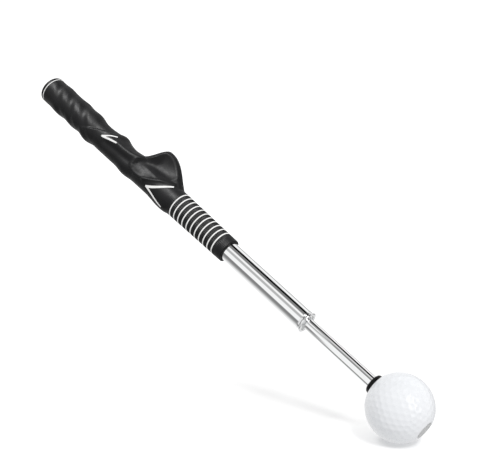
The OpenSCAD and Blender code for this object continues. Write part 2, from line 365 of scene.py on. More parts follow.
def ring_faces(rings, points, closed):
    """Quads between rings of points, and from the last ring back to the first if closed."""
    faces = []
    for j in range(rings if closed else rings - 1):
        a, b = j * points, ((j + 1) % rings) * points
        for i in range(points):
            k = (i + 1) % points
            faces.append((a + i, a + k, b + k, b + i))
    return faces


def arc(centre_r, centre_z, radius, start, end, steps):
    """Points of an arc in a profile, angles in degrees from outwards towards +Z."""
    angles = [math.radians(start + (end - start) * k / steps) for k in range(steps + 1)]
    return [(centre_r + radius * math.cos(a), centre_z + radius * math.sin(a)) for a in angles]


def lathe(name, profile, points=LATHE_POINTS):
    """A closed profile of (radius, z), turned about Z. Where it touches the axis, the turned
    points are one."""
    vertices, index = [], []
    for r, z in profile:
        centre = r < ON_AXIS
        index.append((len(vertices), centre))
        if centre:
            vertices.append((0, 0, z))
            continue
        for i in range(points):
            a = 2 * math.pi * i / points
            vertices.append((r * math.cos(a), r * math.sin(a), z))
    faces = []
    count = len(profile)
    for j in range(count):
        (a, a_centre), (b, b_centre) = index[j], index[(j + 1) % count]
        if a_centre and b_centre:
            continue
        for i in range(points):
            k = (i + 1) % points
            if a_centre:
                faces.append((a, b + k, b + i))
            elif b_centre:
                faces.append((a + i, a + k, b))
            else:
                faces.append((a + i, a + k, b + k, b + i))
    obj = new_object(name, vertices, faces)
    face_outwards(obj)
    return obj


def face_outwards(obj):
    """Turns all faces to look out of the closed mesh."""
    bm = bmesh.new()
    bm.from_mesh(obj.data)
    bmesh.ops.recalc_face_normals(bm, faces=bm.faces)
    bm.to_mesh(obj.data)
    bm.free()


def hard_edges(obj, degrees):
    """Keeps the edges sharper than this angle crisp under smooth shading."""
    bm = bmesh.new()
    bm.from_mesh(obj.data)
    limit = math.radians(degrees)
    for edge in bm.edges:
        if len(edge.link_faces) == 2 and edge.calc_face_angle(0.0) > limit:
            edge.smooth = False
    bm.to_mesh(obj.data)
    bm.free()


def cut_away(obj, cutter):
    """Takes the cutter's volume out of obj and removes the cutter."""
    modifier = obj.modifiers.new("cut", "BOOLEAN")
    modifier.operation = "DIFFERENCE"
    modifier.solver = "EXACT"
    modifier.object = cutter
    bpy.context.view_layer.update()
    evaluated = obj.evaluated_get(bpy.context.evaluated_depsgraph_get())
    mesh = bpy.data.meshes.new_from_object(evaluated)
    obj.modifiers.clear()
    obj.data = mesh
    bpy.data.objects.remove(cutter)


# ------------ the grip's shape
# Heights on the grip are u, the distance below the butt in mm. Directions are degrees round
# the stick from the thumb rest, so -90 is the side where both V marks are.
MARK_SIDE = -90

# The thumb rest, a round-nosed wedge: its peak, how its outline rises and falls, the radius of
# its nose, the slope of its flanks, and the blend at its foot
HUMP_AT = 156.3
HUMP_START, HUMP_RISE = 21, 19
HUMP_FALL, HUMP_FALL_POWER = 36.7, 1.25
HUMP_NOSE = 6.5
HUMP_TAPER = 0.22
HUMP_BLEND = 6
# The wedge fades in over this range of the cosine of the direction
FIN_START, FIN_FADE = -0.1, 0.5
# The hollow for the upper thumb: middle, half length and depth, the slanted line of its crisp
# edge, and the widths of that edge and of the soft one, in degrees
HOLLOW_AT, HOLLOW_HALF, HOLLOW_DEPTH = 84, 24, 1.9
HOLLOW_LINE_U, HOLLOW_LINE_SLANT = 81, 2.3
HOLLOW_CRISP_BEFORE, HOLLOW_CRISP = 4, 12
HOLLOW_SOFT_END, HOLLOW_SOFT = 80, 50
# The scoop in the thumb rest's far side: middle, half length, direction, half angle, depth
SCOOP_AT, SCOOP_HALF, SCOOP_WAY, SCOOP_HALF_ANGLE, SCOOP_DEPTH = 150, 26, 45, 36, 2.2
# The moulding fades to a true cone over this range, where the rings begin
FADE_START, FADE_LENGTH = 189, 8
RING_FROM_BUTT = (BUTT_Z - RING_Z) / MM
BODY_SLOPE = (GRIP_R - RING_ZONE_R) / MM / RING_FROM_BUTT
MOUTH_SLOPE = (RING_ZONE_R - MOUTH_R) / (RING_Z - MOUTH_Z)
THINNEST_R = 10.8
THINNEST_BLEND = 1.0

# Against division by 0
NOT_ZERO = 1e-6
LEAST_HEIGHT, LEAST_BLEND = 0.001, 0.01

# Broad swells and hollows: distance from the butt, direction, rise, half length, half angle
SWELLS = [
    (26, 195, 0.9, 13, 120),
    (50, 195, 0.9, 13, 120),
    (72, 190, 1.9, 13, 110),
    (22, 0, 0.6, 11, 70),
    (46, 0, 0.8, 11, 70),
    (69, 0, 0.9, 11, 70),
    (107, -6, 1.3, 9, 50),
    (124, 0, -1.8, 16, 62),
    (130, 190, 1.3, 14, 80),
    (184, 190, 1.6, 22, 90),
]
# Finger grooves that run round the grip on a slant: distance from the butt on MARK_SIDE, slant
# in mm a degree, depth, half width
GROOVES = [(22, -0.16, 1.1, 7.5), (41, -0.17, 1.15, 7.5), (62, -0.22, 1.1, 8.5)]
GROOVE_HALF_ANGLE = 130


def bell(t):
    """1 at 0, and down to 0 at -1 and 1 with no kink."""
    return np.where(np.abs(t) < 1, np.cos(np.clip(t, -1, 1) * math.pi / 2) ** 2, 0.0)


def step(t):
    """0 up to 0, 1 from 1 on, and eased between."""
    s = np.clip(t, 0, 1)
    return s * s * (3 - 2 * s)


def larger(a, b, k):
    """The larger of two radii, blended over k."""
    near = np.maximum(k - np.abs(a - b), 0) / k
    return np.maximum(a, b) + near * near * k / 4


def turn(a):
    """An angle brought to between -180 and 180."""
    return a - 360 * np.floor((a + 180) / 360)


def plain_r(u):
    """Radius in mm of the grip without its moulding: a long cone and a steeper one below."""
    body = GRIP_R / MM - BODY_SLOPE * u
    tail = RING_ZONE_R / MM - MOUTH_SLOPE * (u - RING_FROM_BUTT)
    return np.where(u < RING_FROM_BUTT, body, tail)


def hump_rise(u):
    """Height of the thumb rest's outline, 0 to 1: steep to the butt, long to the ball."""
    rise = step((u - HUMP_AT + HUMP_START) / HUMP_RISE)
    fall = np.cos(np.clip((u - HUMP_AT) / HUMP_FALL, 0, 1) * math.pi / 2) ** HUMP_FALL_POWER
    return np.where(u < HUMP_AT, rise, fall)


def fin(a, reach):
    """Radius of a round-nosed wedge that stands up from the axis in direction 0."""
    cos, sin = np.cos(np.radians(a)), np.abs(np.sin(np.radians(a)))
    centre = reach - HUMP_NOSE
    nose = centre * cos + np.sqrt(np.maximum(HUMP_NOSE ** 2 - (centre * sin) ** 2, 0))
    base = HUMP_NOSE * math.hypot(1, HUMP_TAPER) + HUMP_TAPER * centre
    flank = base / (sin + HUMP_TAPER * np.maximum(cos, 0) + NOT_ZERO)
    # The flank touches the nose where a line square to it passes through the nose's centre
    on_nose = flank * sin < (flank * cos - centre) / HUMP_TAPER
    return np.where(on_nose, nose, flank) * step((cos - FIN_START) / FIN_FADE)


def thumb_hollow(a, u):
    """Hollow for the upper thumb, with a crisp edge along the small V mark."""
    edge = MARK_SIDE + (u - HOLLOW_LINE_U) * HOLLOW_LINE_SLANT
    crisp = step((a - edge + HOLLOW_CRISP_BEFORE) / HOLLOW_CRISP)
    inside = crisp * step((HOLLOW_SOFT_END - a) / HOLLOW_SOFT)
    return HOLLOW_DEPTH * inside * bell((u - HOLLOW_AT) / HOLLOW_HALF)


# Ridges (and one valley, with a minus height) along the near side of the grip: height, half
# width, and the line they follow, as distance from the butt and distance towards the thumb rest
RIDGES = [
    (
        1.7,
        3.4,
        [(101, 2.0), (111, 3.7), (120, 3.6), (130, 4.8)]
        + [(136, 7.0), (142, 10.5), (150, 17.0), (153, 22.0)],
    ),
    (-1.3, 4.0, [(98, -3.5), (112, -2.5), (124, -2.0), (133, -1.5)]),
    (0.65, 1.8, [(138, 3.5), (136.5, -1.0), (140, -4.6), (146, -6.2), (153, -5.2), (158, -3.6)]),
    (0.9, 1.5, [(157, -4.6), (166, 0.4), (174.5, 5.8), (184, 11.2)]),
]
FAR = 1e9


def ridge_height(x, u):
    """Rise of all the ridges together at x towards the thumb rest and u below the butt."""
    total = np.zeros_like(x)
    for height, width, line in RIDGES:
        nearest = np.full_like(x, FAR)
        for (u0, x0), (u1, x1) in zip(line, line[1:]):
            du, dx = u1 - u0, x1 - x0
            along = np.clip(((u - u0) * du + (x - x0) * dx) / (du ** 2 + dx ** 2), 0, 1)
            gap = np.hypot(u - u0 - along * du, x - x0 - along * dx)
            nearest = np.minimum(nearest, gap)
        total = total + height * np.exp(-((nearest / width) ** 2))
    return total


# The thumb bowl: centre and turn, half length, and half width to either side, of which one
# widens from the butt's end on
BOWL_U, BOWL_X, BOWL_TURN = 158.0, 11.0, math.radians(27.6)
BOWL_LENGTH, BOWL_LOW, BOWL_HIGH = 25.0, 12.5, 17.0
BOWL_NARROW, BOWL_WIDEN_FROM, BOWL_WIDEN_OVER = 8.3, -10, 16
# Its depth, and the share of it at the stick, which grows to all of it further out
BOWL_DEPTH = 4.4
BOWL_SHALLOW, BOWL_DEEPEN_FROM, BOWL_DEEPEN_OVER = 0.45, -3, 16
# The skin over the tube is never thinner than this, and eases out to it
SKIN_LEAST, SKIN_BLEND, BOWL_BLEND = 0.6, 0.6, 2.4
BOWL_BLEND_DEPTH = 2
# Ridges and bowl are on the near side only, and fade in this far in front of the axis
NEAR_START, NEAR_OVER = 1.5, 3


def bowl(x, u):
    """Depth of the thumb bowl, an egg-shaped dish pressed into the near side of the rest."""
    s = (u - BOWL_U) * math.cos(BOWL_TURN) + (x - BOWL_X) * math.sin(BOWL_TURN)
    t = (x - BOWL_X) * math.cos(BOWL_TURN) - (u - BOWL_U) * math.sin(BOWL_TURN)
    widen = step((s - BOWL_WIDEN_FROM) / BOWL_WIDEN_OVER)
    high = BOWL_NARROW + (BOWL_HIGH - BOWL_NARROW) * widen
    rho = (s / BOWL_LENGTH) ** 2 + (t / np.where(t < 0, BOWL_LOW, high)) ** 2
    deepen = step((x - BOWL_DEEPEN_FROM) / BOWL_DEEPEN_OVER)
    share = BOWL_SHALLOW + (1 - BOWL_SHALLOW) * deepen
    return BOWL_DEPTH * np.maximum(1 - rho, 0) * share


def far_scoop(a, u):
    """Shallower dish in the far side of the thumb rest."""
    along = bell((u - SCOOP_AT) / SCOOP_HALF)
    return SCOOP_DEPTH * along * bell((a - SCOOP_WAY) / SCOOP_HALF_ANGLE)


def skin(a, u):
    """Radius of the grip's moulded part in mm, in direction a at distance u below the butt."""
    a, u = turn(np.asarray(a, float)), np.asarray(u, float)
    r = plain_r(u)
    height = hump_rise(u)
    reach = r + (HUMP_REACH / MM - r) * height
    with_fin = larger(r, fin(a, reach), np.maximum(HUMP_BLEND * height, LEAST_BLEND))
    r = np.where(height > LEAST_HEIGHT, with_fin, r)
    for at, direction, rise, half_length, half_angle in SWELLS:
        r = r + rise * bell((u - at) / half_length) * bell(turn(a - direction) / half_angle)
    for at, slant, depth, half_width in GROOVES:
        side = turn(a - MARK_SIDE)
        across = bell((u - at - slant * side) / half_width)
        r = r - depth * across * bell(side / GROOVE_HALF_ANGLE)
    r = r - thumb_hollow(a, u) - far_scoop(a, u)
    blended = larger(r, np.full_like(r, THINNEST_R), THINNEST_BLEND)
    fade = step((u - FADE_START) / FADE_LENGTH)
    return blended * (1 - fade) + plain_r(u) * fade


def surface(a, u, lift=0.0):
    """Point (x, y) in mm on the moulded grip with its ridges and its bowl, lift mm above it."""
    a, u = np.asarray(a, float), np.asarray(u, float)
    r = skin(a, u)
    cos, sin = np.cos(np.radians(a)), np.sin(np.radians(a))
    x, y = r * cos, r * sin
    near = step((-y - NEAR_START) / NEAR_OVER)
    r = r + ridge_height(x, u) * near
    depth = bowl(x, u) * near
    x, y = r * cos, r * sin + depth
    least = BORE_R / MM + SKIN_LEAST
    now = np.hypot(x, y)
    blend = SKIN_BLEND + BOWL_BLEND * step(depth / BOWL_BLEND_DEPTH)
    grown = larger(now, np.full_like(now, least), blend) + lift
    return x * grown / now, y * grown / now


# ------------ grip pieces
SLEEVE_POINTS = 384
SLEEVE_ROWS = 300
# How much closer together the points are on the thumb rest, and where that is
CROWD, CROWD_AT, CROWD_HALF = 0.6, 160, 45
# A height where they are evenly spaced
EVEN_U = 400.0
RIBS, RIB_HEIGHT = 48, 0.14
# Outline of the sleeve at the edges of a white ring's groove: distance out from the edge,
# depth in mm, share of the ribs' height
GROOVE_EDGE = [(0.24 * MM, 0.0, 1.0), (0.12 * MM, 0.04, 0.3), (0.0, 0.16, 0.0)]
GROOVE_EDGE += [(-0.02 * MM, 0.9, 0.0)]
# The ribbed rows between two rings, as shares of the way, and the collar under the last ring
BAND_SHARES = (0.2, 0.5, 0.8)
LAST_BAND = 3 * MM
COLLAR_ROWS, COLLAR_RIBS, COLLAR_GAP = 8, 0.35, 1 * MM
LIP_STEPS, LIP_IN = 8, 0.8


def sleeve_angles(u):
    """Directions of a ring's points, closer together on the thumb rest."""
    t = np.linspace(0, 360, SLEEVE_POINTS, endpoint=False)
    crowd = CROWD * bell((u - CROWD_AT) / CROWD_HALF)
    return t - np.degrees(crowd * np.sin(np.radians(t)))


def ring_grooves():
    """Heights and depths of the sleeve's outline where the white rings lie, from the top."""
    lines = []
    for k in range(RING_COUNT):
        z = RING_Z - k * RING_PITCH
        top, low = z + RING_W / 2, z - RING_W / 2
        lines += [(top + out, depth, ribbed) for out, depth, ribbed in GROOVE_EDGE]
        lines += [(low - out, depth, ribbed) for out, depth, ribbed in reversed(GROOVE_EDGE)]
    return lines


def make_sleeve():
    """The rubber sleeve: moulded part, ribbed bands between the rings, mouth and bore."""
    rings = []

    def add_ring(z, radii, angles):
        rad = np.radians(angles)
        x, y = radii * MM * np.cos(rad), radii * MM * np.sin(rad)
        rings.append(np.stack([x, y, np.full_like(rad, z)], 1))

    for z in np.linspace(SLEEVE_TOP, RING_Z + RING_PITCH / 2, SLEEVE_ROWS):
        u = (BUTT_Z - z) / MM
        x, y = surface(sleeve_angles(u), np.full(SLEEVE_POINTS, u))
        rings.append(np.stack([x * MM, y * MM, np.full_like(x, z)], 1))

    angles = sleeve_angles(EVEN_U)
    ribs = RIB_HEIGHT * (np.cos(np.radians(angles) * RIBS) - 1)
    lines = ring_grooves()
    per_ring = 2 * len(GROOVE_EDGE)
    bands = []
    for k in range(RING_COUNT):
        low_edge = lines[per_ring * (k + 1) - 1][0]
        last = k + 1 == RING_COUNT
        next_edge = low_edge - LAST_BAND if last else lines[per_ring * (k + 1)][0]
        for share in BAND_SHARES:
            bands.append((low_edge + (next_edge - low_edge) * share, 0.0, 1.0))
    collar_top = min(z for z, _, _ in bands) - COLLAR_GAP
    for z in np.linspace(collar_top, MOUTH_Z + 1.0 * MM, COLLAR_ROWS):
        bands.append((z, 0.0, COLLAR_RIBS))
    for z, depth, ribbed in sorted(lines + bands, key=lambda line: -line[0]):
        add_ring(z, plain_r((BUTT_Z - z) / MM) - depth + ribs * ribbed, angles)

    for k in range(1, LIP_STEPS + 1):
        t = math.radians(90 * k / LIP_STEPS)
        lip_r = MOUTH_R / MM - (1 - math.cos(t)) * LIP_IN
        add_ring(MOUTH_Z + (1 - math.sin(t)) * MM, np.full_like(angles, lip_r), angles)
    bore = BORE_R / MM
    mouth = [(MOUTH_Z + 0.15 * MM, bore + 0.15), (MOUTH_Z + 0.5 * MM, bore)]
    for z, r in mouth + [(SLEEVE_TOP, bore)]:
        add_ring(z, np.full_like(angles, r), angles)

    faces = ring_faces(len(rings), SLEEVE_POINTS, True)
    sleeve = new_object("grip_sleeve_moulded", np.concatenate(rings), faces)
    face_outwards(sleeve)
    hard_edges(sleeve, 50)
    finish_piece(sleeve, GRIP_RUBBER, HANDLE, "grip_rubber", "grip_sleeve")


def make_rings():
    """The eleven white rings, each a band with rounded shoulders."""
    vertices, faces = [], []
    points = 192
    half, soft, sunk, proud = RING_W / 2, 0.25 * MM, 0.85 * MM, 0.04 * MM
    angles = np.linspace(0, 2 * math.pi, points, endpoint=False)
    for k in range(RING_COUNT):
        z = RING_Z - k * RING_PITCH
        r = plain_r(np.array((BUTT_Z - z) / MM)) * MM
        outline = (
            [(r - sunk, z - half)]
            + arc(r - soft + proud, z - half + soft, soft, -90, 0, 4)
            + arc(r - soft + proud, z + half - soft, soft, 0, 90, 4)
            + [(r - sunk, z + half)]
        )
        start = len(vertices)
        for radius, height in outline:
            vertices += [(radius * math.cos(a), radius * math.sin(a), height) for a in angles]
        faces += [tuple(start + i for i in f) for f in ring_faces(len(outline), points, True)]
    rings = new_object("grip_rings_inlaid", vertices, faces)
    face_outwards(rings)
    hard_edges(rings, 60)
    finish_piece(rings, WHITE_MARK, HANDLE, "white_mark", "grip_rings")


# The arms of each V: distance from the butt and direction of both ends, both widths, and sag
SMALL_V = [((92.4, -92), (104.6, -50), 2.3, 1.6, 0.0), ((92.4, -92), (110.6, -75), 2.3, 1.6, 0.0)]
LARGE_V = [((164.6, -125), (186.0, -44), 2.8, 2.3, 1.6)]
LARGE_V += [((164.6, -125), (188.6, -152), 2.8, 1.7, 0.0)]
# Rise of a mark's round top above its edges, and depths of its edges and its root
MARK_RISE, MARK_EDGE, MARK_ROOT = 0.14, -0.05, -0.6
MARK_ALONG, MARK_ACROSS = 48, 9
# Square of the width's share at the round tip
MARK_TIP = 0.0004


def make_v_mark(name, arms, node):
    """A white V inlaid in the rubber: two strips with a low round top, from one round tip."""
    vertices, faces = [], []
    for (u0, a0), (u1, a1), w0, w1, sag in arms:
        r_mid = float(skin((a0 + a1) / 2, (u0 + u1) / 2))
        du, dv = u1 - u0, math.radians(a1 - a0) * r_mid
        run = math.hypot(du, dv)
        start = len(vertices)
        for i in range(MARK_ALONG + 1):
            # The tip is rounded over half a width, and the far end is cut square
            reach = -w0 / 2 + (run + w0 / 2) * i / MARK_ALONG
            t = reach / run
            width = (w0 + (w1 - w0) * max(t, 0)) / 2
            width *= math.sqrt(max(1 - max(-reach / (w0 / 2), 0) ** 2, MARK_TIP))
            row = []
            for j in range(MARK_ACROSS):
                side = -1 + 2 * j / (MARK_ACROSS - 1)
                c = side * width - sag * 4 * max(t, 0) * (1 - t)
                u = u0 + du * t - c * dv / run
                a = a0 + (a1 - a0) * t + math.degrees(c * du / run / r_mid)
                row.append((u, a, MARK_RISE * (1 - side ** 4) + MARK_EDGE))
            row += [(u, a, MARK_ROOT) for u, a, _ in (row[-1], row[0])]
            for u, a, lift in row:
                x, y = surface(a, u, lift)
                vertices.append((float(x) * MM, float(y) * MM, BUTT_Z - u * MM))
        size = MARK_ACROSS + 2
        strip = ring_faces(MARK_ALONG + 1, size, False)
        faces += [tuple(start + p for p in face) for face in strip]
        faces.append(tuple(start + j for j in range(size)))
        faces.append(tuple(start + MARK_ALONG * size + j for j in reversed(range(size))))
    mark = new_object(name, vertices, faces)
    face_outwards(mark)
    finish_piece(mark, WHITE_MARK, HANDLE, "white_mark", node)


def turned_piece(name, profile, material, slot, node, body, crisp, points=LATHE_POINTS):
    """A lathed piece, finished. Its edges stay sharp from an angle of crisp degrees."""
    obj = lathe(name, profile, points)
    hard_edges(obj, crisp)
    finish_piece(obj, material, body, slot, node)


def make_butt():
    """The rounded rubber cap and the thin white ring under it."""
    soft, rounding = 0.2 * MM, 3.1 * MM
    plug_z, dish_z, hole_z = CAP_Z - 7.7 * MM, BUTT_Z - 0.5 * MM, BUTT_Z - 2.0 * MM
    turned_piece(
        "butt_cap_moulded",
        [(0, plug_z), (TUBE_R, plug_z), (TUBE_R, CAP_Z)]
        + arc(GRIP_R - soft, CAP_Z + soft, soft, -90, 0, 3)
        + arc(GRIP_R - rounding, BUTT_Z - rounding, rounding, 0, 84, 10)
        + [(8.0 * MM, BUTT_Z), (7.6 * MM, dish_z), (1.6 * MM, dish_z)]
        + [(1.2 * MM, hole_z), (0, hole_z)],
        CAP_RUBBER, "grip_rubber", "butt_cap", HANDLE, crisp=50,
    )
    edge = 1.5 * soft
    turned_piece(
        "butt_ring_inlaid",
        [(BORE_R, SLEEVE_TOP), (GRIP_R - soft, SLEEVE_TOP)]
        + arc(GRIP_R - edge, SLEEVE_TOP + edge, edge, -90, 0, 3)
        + arc(GRIP_R - edge, CAP_Z - edge, edge, 0, 90, 3)
        + [(BORE_R, CAP_Z)],
        WHITE_MARK, "white_mark", "butt_ring", HANDLE, crisp=60,
    )


# ------------ telescope pieces
TUBE_POINTS, ROD_POINTS = 256, 224
# Tops of the rolled bead and of the ferrules
BEAD_TOP = TUBE_Z + 2.6 * MM
FERRULE_TOP = TUBE_Z + 5.0 * MM
SLIDE_GAP = 0.15 * MM


def make_tubes():
    """Outer tube with its rolled bead, the middle tube and lip inside it, and the rod."""
    groove_z, groove_r, groove_half = TUBE_Z + 4.0 * MM, 0.45 * MM, 0.8 * MM
    tube_in = TUBE_R - TUBE_WALL
    turned_piece(
        "outer_tube_chrome",
        [(tube_in, FERRULE_TOP), (tube_in, TUBE_TOP), (TUBE_R, TUBE_TOP)]
        + [(TUBE_R, groove_z + groove_half)]
        + arc(TUBE_R, groove_z, groove_r, 90, 270, 8)
        + [(TUBE_R, groove_z - groove_half), (TUBE_R - 0.2 * MM, BEAD_TOP), (tube_in, BEAD_TOP)],
        CHROME_TUBE, "chrome_tube", "outer_tube", HANDLE, crisp=50, points=TUBE_POINTS,
    )
    bead, soft = 1.1 * MM, 0.5 * MM
    bore_r = MIDDLE_R + SLIDE_GAP
    turned_piece(
        "outer_ferrule_chrome",
        [(bore_r, TUBE_Z + 0.55 * MM)]
        + arc(bore_r + soft, TUBE_Z + soft, soft, 180, 270, 5)
        + arc(LIP_R - bead, TUBE_Z + bead, bead, -90, 90, 14)
        + [(tube_in - CLEAR, BEAD_TOP), (tube_in - CLEAR, FERRULE_TOP), (bore_r, FERRULE_TOP)],
        CHROME_TUBE, "chrome_tube", "outer_ferrule", HANDLE, crisp=50, points=TUBE_POINTS,
    )
    middle_in = MIDDLE_R - TUBE_WALL
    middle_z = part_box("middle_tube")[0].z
    turned_piece(
        "middle_tube_chrome",
        [(middle_in, middle_z), (MIDDLE_R, middle_z)]
        + [(MIDDLE_R, MIDDLE_TOP), (middle_in, MIDDLE_TOP)],
        CHROME_TUBE, "chrome_tube", "middle_tube", MIDDLE, crisp=50, points=ROD_POINTS,
    )
    lip_bore = ROD_R + SLIDE_GAP
    turned_piece(
        "middle_ferrule_chrome",
        arc(lip_bore + soft, MIDDLE_LIP_Z + soft, soft, 180, 270, 5)
        + arc(MIDDLE_R - soft, MIDDLE_LIP_Z + soft, soft, -90, 0, 5)
        + [(MIDDLE_R, middle_z), (middle_in - CLEAR, middle_z)]
        + [(middle_in - CLEAR, FERRULE_TOP), (lip_bore, FERRULE_TOP)],
        CHROME_TUBE, "chrome_tube", "middle_ferrule", MIDDLE, crisp=50, points=ROD_POINTS,
    )
    chamfer = 0.4 * MM
    rod_in = ROD_R - ROD_WALL
    turned_piece(
        "rod_chrome",
        [(rod_in, ROD_Z), (ROD_R - chamfer, ROD_Z), (ROD_R, ROD_Z + chamfer)]
        + [(ROD_R, ROD_TOP - chamfer), (ROD_R - chamfer, ROD_TOP), (rod_in, ROD_TOP)],
        CHROME_ROD, "chrome_rod", "rod", HEAD, crisp=30, points=ROD_POINTS,
    )


# ------------ ball head
DIMPLE_STEPS = 6
DIMPLE_R = 2.55 * MM
DIMPLE_DEPTH = 0.30 * MM
DIMPLE_EDGE = 0.22
SPHERE_CELLS = 132
# Room that dimples leave round the neck ring and the end disc
NECK_CLEAR, DISC_CLEAR = 2.0 * MM, 3.6 * MM
# Points of the ball that are compared with the dimples at a time
BLOCK = 20000


def dimple_directions():
    """Centres of the dimples: an icosahedron's faces, each edge divided in DIMPLE_STEPS."""
    bm = bmesh.new()
    bmesh.ops.create_icosphere(bm, subdivisions=1, radius=1.0)
    found = {}
    for face in bm.faces:
        a, b, c = (v.co.copy() for v in face.verts)
        for i in range(DIMPLE_STEPS + 1):
            for j in range(DIMPLE_STEPS + 1 - i):
                k = DIMPLE_STEPS - i - j
                # A point of the flat face, pushed out to the sphere
                p = (a * i + b * j + c * k).normalized()
                found[tuple(round(x, 4) for x in p)] = p
    bm.free()
    tilt = Matrix.Rotation(math.radians(14), 3, "X") @ Matrix.Rotation(math.radians(9), 3, "Z")
    return [tilt @ found[key] for key in sorted(found)]


def cube_sphere(cells):
    """An even grid of points on the unit sphere, and its quads, as a cube blown up round."""
    line = np.tan(np.linspace(-1, 1, cells + 1) * math.pi / 4)
    vertices, faces, seen = [], [], {}
    for axis in range(3):
        for sign in (-1, 1):
            index = np.zeros((cells + 1, cells + 1), int)
            for i, s in enumerate(line):
                for j, t in enumerate(line):
                    p = np.zeros(3)
                    p[axis], p[(axis + 1) % 3], p[(axis + 2) % 3] = sign, s, t
                    p /= np.linalg.norm(p)
                    key = tuple(np.round(p, 6))
                    if key not in seen:
                        seen[key] = len(vertices)
                        vertices.append(p)
                    index[i, j] = seen[key]
            for i in range(cells):
                for j in range(cells):
                    quad = (index[i, j], index[i + 1, j], index[i + 1, j + 1], index[i, j + 1])
                    faces.append(quad if sign > 0 else quad[::-1])
    return np.array(vertices), faces


def bore_out(obj, name, radius, low, high):
    """Cuts a cylinder about the stick's axis out of obj."""
    cut_away(obj, lathe(name, [(0, low), (radius, low), (radius, high), (0, high)]))


def make_ball():
    """The dimpled cover: hollow, flat at the end disc, with a well for it and one at the neck."""
    directions, faces = cube_sphere(SPHERE_CELLS)
    centres = np.array([tuple(d) for d in dimple_directions()])
    # No dimple where it would run into the neck ring or the end disc
    from_axis = np.hypot(centres[:, 0], centres[:, 1]) * BALL_R
    upper = centres[:, 2] > 0
    centres = centres[from_axis > np.where(upper, SEAT_R + NECK_CLEAR, DISC_R + DISC_CLEAR)]
    nearest = np.full(len(directions), -1.0)
    for start in range(0, len(directions), BLOCK):
        block = directions[start:start + BLOCK]
        nearest[start:start + BLOCK] = (block @ centres.T).max(1)
    distance = np.arccos(np.clip(nearest, -1, 1)) * BALL_R
    t = np.clip(distance / DIMPLE_R, 0, 1)
    radius = BALL_R - DIMPLE_DEPTH * ((1 - t ** 2) * step((1 - t) / DIMPLE_EDGE))
    points = directions * radius[:, None] + np.array([0, 0, BALL_Z])
    ball = new_object("ball_cover_dimpled", points, faces)
    face_outwards(ball)
    bore_out(ball, "flat_cutter", BALL_R, -5 * MM, DISC_PROUD)
    hollow = arc(0, BALL_Z, BALL_R - COVER_WALL, -90, 90, 48)
    cut_away(ball, lathe("inside_cutter", hollow, 128))
    bore_out(ball, "disc_cutter", DISC_R + 0.12 * MM, -3 * MM, 6 * MM)
    bore_out(ball, "neck_cutter", SEAT_R + CLEAR, SEAT_Z - 1 * MM, SEAT_TOP + 9 * MM)
    hard_edges(ball, 45)
    finish_piece(ball, BALL_WHITE, HEAD, "ball_white", "ball_cover")


def make_neck():
    """White neck ring on the ball and the domed rubber bumper above it."""
    soft = 0.12 * MM
    bore = ROD_R + CLEAR
    shoulder = SEAT_TOP - 0.28 * MM
    # The ring's top has a fine groove in it, given as steps in from its edge and down from it
    groove = [(0.55, 0.16), (0.6, 0.4), (0.8, 0.4), (0.85, 0.1), (1.1, 0.0)]
    turned_piece(
        "seat_ring_moulded",
        [(bore, SEAT_Z), (SEAT_R, SEAT_Z), (SEAT_R, shoulder)]
        + arc(SEAT_R - soft, shoulder, soft, 0, 90, 3)
        + [(SEAT_R - inwards * MM, SEAT_TOP - down * MM) for inwards, down in groove]
        + [(bore, SEAT_TOP)],
        BALL_WHITE, "ball_white", "seat_ring", HEAD, crisp=50,
    )

    rim, edge = 0.8 * MM, 1.7 * MM
    height = BUMPER_TOP - SEAT_TOP - edge
    start, run = BUMPER_R - 0.35 * MM, BUMPER_R - ROD_R - 0.9 * MM
    bends = [math.radians(a) for a in range(0, 91, 9)]
    turned_piece(
        "bumper_moulded",
        [(bore, SEAT_TOP)]
        + arc(BUMPER_R - rim, SEAT_TOP + rim, rim, -90, 50, 10)
        + [
            (start - run * (1 - math.cos(a)), SEAT_TOP + edge + height * math.sin(a))
            for a in bends
        ]
        + [(ROD_R + 0.5 * MM, BUMPER_TOP - 0.15 * MM), (bore, BUMPER_TOP - 0.5 * MM)],
        BUMPER_RUBBER, "bumper_rubber", "bumper", HEAD, crisp=60,
    )


def make_disc():
    """The silver end disc: a raised rim, a fine groove and a faced centre."""
    rim, groove_z, centre_z = 0.25 * MM, 0.12 * MM, 0.02 * MM
    turned_piece(
        "end_disc_faced",
        [(0, DISC_TOP), (DISC_R, DISC_TOP), (DISC_R, rim)]
        + arc(DISC_R - rim, rim, rim, 0, -90, 5)
        + [(DISC_R - 0.75 * MM, 0), (DISC_R - 0.85 * MM, groove_z)]
        + [(DISC_R - 1.05 * MM, groove_z), (DISC_R - 1.15 * MM, centre_z), (0, centre_z)],
        SATIN_DISC, "satin_disc", "end_disc", HEAD, crisp=40,
    )


# ------------ CAD nodes that stay
KEPT_NODES = {
    "outer_bush": BUSH_PLASTIC,
    "butt_plug": BUSH_PLASTIC,
    "rod_bush": BUSH_PLASTIC,
    "middle_piston": BUSH_PLASTIC,
    "rod_piston": BUSH_PLASTIC,
    "buffer_pad": BUMPER_RUBBER,
    "middle_spring": PLAIN_STEEL,
    "rod_spring": PLAIN_STEEL,
    "ball_core": CORE_RUBBER,
    "ball_sleeve": PLAIN_STEEL,
    "rod_insert": PLAIN_STEEL,
    "lock_washer": PLAIN_STEEL,
    "end_screw": PLAIN_STEEL,
}


def paint_kept_nodes():
    """Gives the CAD nodes that no piece replaces their materials."""
    for name, material in KEPT_NODES.items():
        for slot in frame["nodes"][name].material_slots:
            slot.material = material


